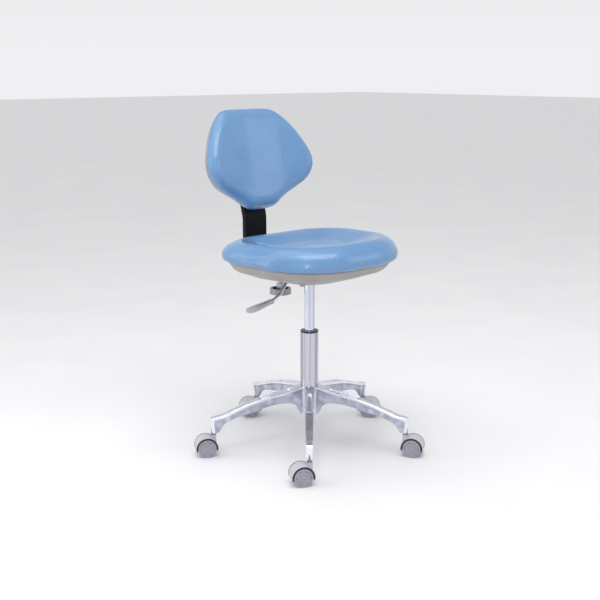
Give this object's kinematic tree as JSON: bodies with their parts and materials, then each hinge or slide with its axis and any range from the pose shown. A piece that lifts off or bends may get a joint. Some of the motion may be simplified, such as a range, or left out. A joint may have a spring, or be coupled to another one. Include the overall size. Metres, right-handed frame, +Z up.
{
  "type": "dentist stool",
  "caption": "Height-adjustable dentist stool on a five-arm star base with twin-wheel casters, gas lift column, padded seat, release lever and a padded backrest on a clamped sliding bar.",
  "frame": {"origin": "on the floor, on the axis of the gas lift column", "axes": "+Z up; -Y is the way a sitter faces, the backrest is on the +Y side; the height lever is on the -X side"},
  "size_m": [0.6248, 0.6123, 0.9251],
  "materials": {
    "base_aluminium": "polished die-cast aluminium, slightly cloudy",
    "column_chrome": "bright chrome",
    "cylinder_chrome": "bright chrome, oiled",
    "guide_plastic": "black acetal, satin",
    "bearing_steel": "ground bearing steel",
    "stem_steel": "turned steel",
    "stud_steel": "zinc plated steel",
    "clip_steel": "dark spring steel",
    "buffer_rubber": "black rubber",
    "gland_plastic": "black nylon",
    "mechanism_paint": "black powder coat",
    "plywood": "beech plywood",
    "upholstery": "smooth blue imitation leather, soft sheen",
    "grey_plastic": "warm grey moulded plastic, fine grain",
    "zinc_screws": "zinc plated steel",
    "lever_chrome": "chromed rod",
    "lever_plastic": "grey moulded plastic",
    "bar_paint": "black satin paint",
    "cover_plastic": "black plastic",
    "knob_grey": "grey ribbed plastic with a metallic look",
    "knob_black": "black plastic",
    "caster_grey": "lavender grey nylon",
    "caster_black": "black plastic band",
    "axle_steel": "turned steel",
    "wheel_grey": "lavender grey nylon"
  },
  "bodies": {
    "base": {"star_base": "base_aluminium", "column_tube": "column_chrome", "guide_bush": "guide_plastic", "bearing_race_low": "bearing_steel", "bearing_balls": "bearing_steel", "caster_stems": "stem_steel"},
    "spindle": {"piston_rod": "stem_steel", "piston": "clip_steel", "bearing_race_high": "bearing_steel", "stop_buffer": "buffer_rubber", "rod_clip": "clip_steel"},
    "seat": {"gas_cylinder": "cylinder_chrome", "rod_gland": "gland_plastic", "seat_mechanism": "mechanism_paint", "seat_board": "plywood", "seat_cushion": "upholstery", "seat_tray": "grey_plastic", "plate_bolts": "zinc_screws", "tee_nuts": "zinc_screws", "wood_screws": "zinc_screws", "bar_channel": "mechanism_paint", "lever_pin": "stem_steel"},
    "lever": {"lever_rod": "lever_chrome", "lever_paddle": "lever_plastic"},
    "valve": {"valve_pin": "stem_steel"},
    "back": {"back_bar": "bar_paint", "bar_cover": "cover_plastic", "back_board": "plywood", "back_cushion": "upholstery", "back_shell": "grey_plastic", "back_screws": "zinc_screws"},
    "clamp": {"clamp_pad": "clip_steel"},
    "knob": {"knob_rim": "knob_grey", "knob_core": "knob_black", "knob_stud": "stud_steel"},
    "swivel_1": {"hood_1": "caster_grey", "trim_1": "caster_black", "axle_1": "axle_steel"},
    "roller_1a": {"wheel_1a": "wheel_grey"},
    "roller_1b": {"wheel_1b": "wheel_grey"},
    "swivel_2": {"hood_2": "caster_grey", "trim_2": "caster_black", "axle_2": "axle_steel"},
    "roller_2a": {"wheel_2a": "wheel_grey"},
    "roller_2b": {"wheel_2b": "wheel_grey"},
    "swivel_3": {"hood_3": "caster_grey", "trim_3": "caster_black", "axle_3": "axle_steel"},
    "roller_3a": {"wheel_3a": "wheel_grey"},
    "roller_3b": {"wheel_3b": "wheel_grey"},
    "swivel_4": {"hood_4": "caster_grey", "trim_4": "caster_black", "axle_4": "axle_steel"},
    "roller_4a": {"wheel_4a": "wheel_grey"},
    "roller_4b": {"wheel_4b": "wheel_grey"},
    "swivel_5": {"hood_5": "caster_grey", "trim_5": "caster_black", "axle_5": "axle_steel"},
    "roller_5a": {"wheel_5a": "wheel_grey"},
    "roller_5b": {"wheel_5b": "wheel_grey"}
  },
  "joints": [
    {"name": "seat_turn", "type": "hinge", "parent": "base", "child": "spindle", "pos_m": [0, 0, 0.1], "axis": [0, 0, 1], "continuous": true},
    {"name": "seat_lift", "type": "slide", "parent": "spindle", "child": "seat", "axis": [0, 0, 1], "range_m": [-0.12, 0.02]},
    {"name": "lever_lift", "type": "hinge", "parent": "seat", "child": "lever", "pos_m": [-0.03, 0, 0.5094], "axis": [0, 1, 0], "range_deg": [0, 6], "stiffness_Nm_per_rad": 6, "springref_deg": -5.73},
    {"name": "valve_press", "type": "slide", "parent": "seat", "child": "valve", "axis": [0, 0, 1], "range_m": [-0.004, 0]},
    {"name": "back_depth", "type": "slide", "parent": "seat", "child": "back", "axis": [0, 1, 0], "range_m": [-0.015, 0.04]},
    {"name": "clamp_press", "type": "slide", "parent": "seat", "child": "clamp", "axis": [0, 0, 1], "range_m": [-0.0026, 0]},
    {"name": "knob_turn", "type": "hinge", "parent": "clamp", "child": "knob", "pos_m": [0, 0.122, 0.421], "axis": [0, 0, 1], "range_deg": [-720, 0]},
    {"name": "caster_turn_1", "type": "hinge", "parent": "base", "child": "swivel_1", "pos_m": [-0.18535, -0.20585, 0.05], "axis": [0, 0, 1], "continuous": true},
    {"name": "wheel_roll_1a", "type": "hinge", "parent": "swivel_1", "child": "roller_1a", "pos_m": [-0.20317, -0.19677, 0.025], "axis": [-0.454, -0.891, 0], "continuous": true},
    {"name": "wheel_roll_1b", "type": "hinge", "parent": "swivel_1", "child": "roller_1b", "pos_m": [-0.20317, -0.19677, 0.025], "axis": [-0.454, -0.891, 0], "continuous": true},
    {"name": "caster_turn_2", "type": "hinge", "parent": "base", "child": "swivel_2", "pos_m": [0.1385, -0.23989, 0.05], "axis": [0, 0, 1], "continuous": true},
    {"name": "wheel_roll_2a", "type": "hinge", "parent": "swivel_2", "child": "roller_2a", "pos_m": [0.14939, -0.25666, 0.025], "axis": [0.8387, 0.5446, 0], "continuous": true},
    {"name": "wheel_roll_2b", "type": "hinge", "parent": "swivel_2", "child": "roller_2b", "pos_m": [0.14939, -0.25666, 0.025], "axis": [0.8387, 0.5446, 0], "continuous": true},
    {"name": "caster_turn_3", "type": "hinge", "parent": "base", "child": "swivel_3", "pos_m": [0.27095, 0.05759, 0.05], "axis": [0, 0, 1], "continuous": true},
    {"name": "wheel_roll_3a", "type": "hinge", "parent": "swivel_3", "child": "roller_3a", "pos_m": [0.28184, 0.04082, 0.025], "axis": [0.8387, 0.5446, 0], "continuous": true},
    {"name": "wheel_roll_3b", "type": "hinge", "parent": "swivel_3", "child": "roller_3b", "pos_m": [0.28184, 0.04082, 0.025], "axis": [0.8387, 0.5446, 0], "continuous": true},
    {"name": "caster_turn_4", "type": "hinge", "parent": "base", "child": "swivel_4", "pos_m": [0.02895, 0.27548, 0.05], "axis": [0, 0, 1], "continuous": true},
    {"name": "wheel_roll_4a", "type": "hinge", "parent": "swivel_4", "child": "roller_4a", "pos_m": [0.01113, 0.28456, 0.025], "axis": [-0.454, -0.891, 0], "continuous": true},
    {"name": "wheel_roll_4b", "type": "hinge", "parent": "swivel_4", "child": "roller_4b", "pos_m": [0.01113, 0.28456, 0.025], "axis": [-0.454, -0.891, 0], "continuous": true},
    {"name": "caster_turn_5", "type": "hinge", "parent": "base", "child": "swivel_5", "pos_m": [-0.25305, 0.11267, 0.05], "axis": [0, 0, 1], "continuous": true},
    {"name": "wheel_roll_5a", "type": "hinge", "parent": "swivel_5", "child": "roller_5a", "pos_m": [-0.27087, 0.12175, 0.025], "axis": [-0.454, -0.891, 0], "continuous": true},
    {"name": "wheel_roll_5b", "type": "hinge", "parent": "swivel_5", "child": "roller_5b", "pos_m": [-0.27087, 0.12175, 0.025], "axis": [-0.454, -0.891, 0], "continuous": true}
  ],
  "couplings": [
    {"joint": "valve_press", "follows": "lever_lift", "m_per_rad": -0.035},
    {"joint": "clamp_press", "follows": "knob_turn", "m_per_rad": 0.000199}
  ]
}
